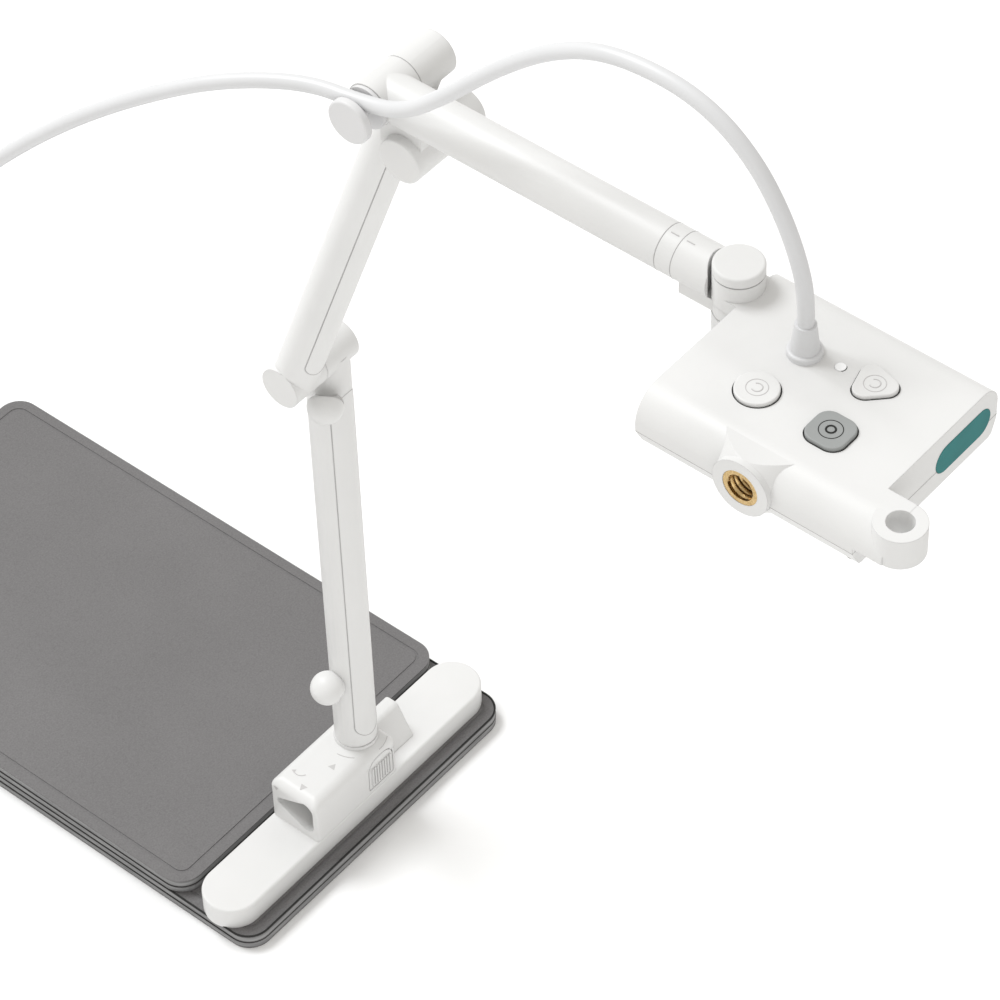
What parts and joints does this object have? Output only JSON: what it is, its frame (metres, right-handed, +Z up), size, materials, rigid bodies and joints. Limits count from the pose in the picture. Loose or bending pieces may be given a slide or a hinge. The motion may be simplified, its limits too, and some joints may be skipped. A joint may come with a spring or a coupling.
{
  "type": "book scanner (folding document camera)",
  "caption": "Folding document camera: flat camera head on a jointed tube arm, standing on a weighted bar with a folding dark board mat.",
  "frame": {"origin": "on the surface it stands on, under the middle of the base bar", "axes": "+X along the base bar, away from the cable guide; +Y along the mat, away from the camera head; +Z up"},
  "size_m": [0.1788, 0.4097, 0.3551],
  "materials": {
    "white_plastic": "fine matte, slightly soft sheen",
    "grey_key": "satin",
    "mat_leather": "fine-grained dark grey leatherette",
    "mat_board": "light grey pressed board edge",
    "steel": "machined",
    "brass": "turned",
    "teal_window": "gloss, translucent",
    "clear_light": "clear, polished",
    "lens_glass": "coated glass",
    "black_plastic": "matte",
    "board_green": "solder resist",
    "cable_white": "smooth, slightly soft",
    "nub_rubber": "matte",
    "nickel": "plated"
  },
  "bodies": {
    "base": {"mat_board_3": "mat_board", "mat_skins_3": "mat_leather", "mat_fold_strips_lower": "mat_leather", "base_bar_shell": "white_plastic", "base_bottom_plate": "white_plastic", "base_steel_weights": "steel", "base_plate_screws": "steel", "tower_housing": "white_plastic", "cable_floor_run": "cable_white", "cable_coil": "cable_white", "cable_tie": "black_plastic", "usb_plug_overmould": "cable_white", "usb_plug_shell": "nickel"},
    "mat_underside_panel": {"mat_board_4": "mat_board", "mat_skins_4": "mat_leather"},
    "mat_upper_pair": {"mat_board_2": "mat_board", "mat_skins_2": "mat_leather", "mat_fold_strip_upper": "mat_leather"},
    "mat_top_panel": {"mat_board_1": "mat_board", "mat_skins_1": "mat_leather"},
    "latch": {"latch_tongue": "white_plastic"},
    "post_foot": {"post_foot_spigot": "white_plastic"},
    "post": {"post_tube": "white_plastic", "post_cover_strip": "white_plastic", "cable_hook_lower": "white_plastic", "cable_hook_upper": "white_plastic", "elbow_1_pin": "steel", "elbow_1_cap": "white_plastic", "cable_drop_run": "cable_white"},
    "mid_arm": {"mid_arm_tube": "white_plastic", "mid_arm_cover_strip": "white_plastic", "elbow_1_washer": "steel", "elbow_2_washer": "steel", "cable_elbow_run": "cable_white"},
    "upper_arm": {"upper_arm_tube": "white_plastic", "cable_guide_cap": "white_plastic", "wrist_ring": "white_plastic", "elbow_2_pin": "steel", "cable_arch_run": "cable_white"},
    "wrist": {"wrist_shaft": "steel", "wrist_fork": "white_plastic", "yaw_pin": "steel", "hinge_cap": "white_plastic", "cable_head_run": "cable_white"},
    "head": {"head_top_shell": "white_plastic", "head_bottom_shell": "white_plastic", "head_screws": "steel", "head_rest_nubs": "nub_rubber", "tripod_insert": "brass", "button_switches": "black_plastic", "main_board": "board_green", "status_light_pipe": "clear_light", "camera_module": "black_plastic", "lens_barrel": "black_plastic", "lens_window": "lens_glass", "end_window": "teal_window", "strain_relief": "cable_white"},
    "round_key": {"button_round": "white_plastic"},
    "square_key": {"button_square": "grey_key"},
    "triangle_key": {"button_triangle": "white_plastic"}
  },
  "joints": [
    {"name": "post_lift_out", "type": "slide", "parent": "base", "child": "post_foot", "axis": [0, 0, 1], "range_m": [0, 0.02]},
    {"name": "post_swivel", "type": "hinge", "parent": "post_foot", "child": "post", "pos_m": [0.00615, 0, 0.03], "axis": [0, 0, 1], "range_deg": [-180, 180], "deforming": ["cable_head_run", "cable_arch_run", "cable_elbow_run", "cable_drop_run", "cable_floor_run"]},
    {"name": "elbow_1", "type": "hinge", "parent": "post", "child": "mid_arm", "pos_m": [0, 0, 0.17285], "axis": [1, 0, 0], "range_deg": [-90, 60]},
    {"name": "elbow_2", "type": "hinge", "parent": "mid_arm", "child": "upper_arm", "pos_m": [0, -0.04605, 0.298], "axis": [-1, 0, 0], "range_deg": [0, 200]},
    {"name": "wrist_roll", "type": "hinge", "parent": "upper_arm", "child": "wrist", "pos_m": [-0.0166, -0.12, 0.298], "axis": [0, -1, 0], "range_deg": [-90, 90]},
    {"name": "head_yaw", "type": "hinge", "parent": "wrist", "child": "head", "pos_m": [-0.0167, -0.1414, 0.298], "axis": [0, 0, 1], "range_deg": [-60, 60]},
    {"name": "round_key_press", "type": "slide", "parent": "head", "child": "round_key", "axis": [0, 0, -1], "range_m": [0, 0.0005], "stiffness_N_per_m": 200},
    {"name": "square_key_press", "type": "slide", "parent": "head", "child": "square_key", "axis": [0, 0, -1], "range_m": [0, 0.0005], "stiffness_N_per_m": 200},
    {"name": "triangle_key_press", "type": "slide", "parent": "head", "child": "triangle_key", "axis": [0, 0, -1], "range_m": [0, 0.0005], "stiffness_N_per_m": 200},
    {"name": "latch_press", "type": "hinge", "parent": "base", "child": "latch", "pos_m": [0.0063, -0.00755, 0.0222], "axis": [1, 0, 0], "range_deg": [0, 5], "stiffness_Nm_per_rad": 0.05},
    {"name": "mat_side_fold_lower", "type": "hinge", "parent": "base", "child": "mat_underside_panel", "pos_m": [0.05285, 0, 0.00235], "axis": [0, -1, 0], "range_deg": [0, 180]},
    {"name": "mat_end_fold", "type": "hinge", "parent": "base", "child": "mat_upper_pair", "pos_m": [0, 0.17345, 0.00476], "axis": [-1, 0, 0], "range_deg": [0, 180]},
    {"name": "mat_side_fold_upper", "type": "hinge", "parent": "mat_upper_pair", "child": "mat_top_panel", "pos_m": [0.05285, 0, 0.00717], "axis": [0, 1, 0], "range_deg": [0, 180]}
  ]
}
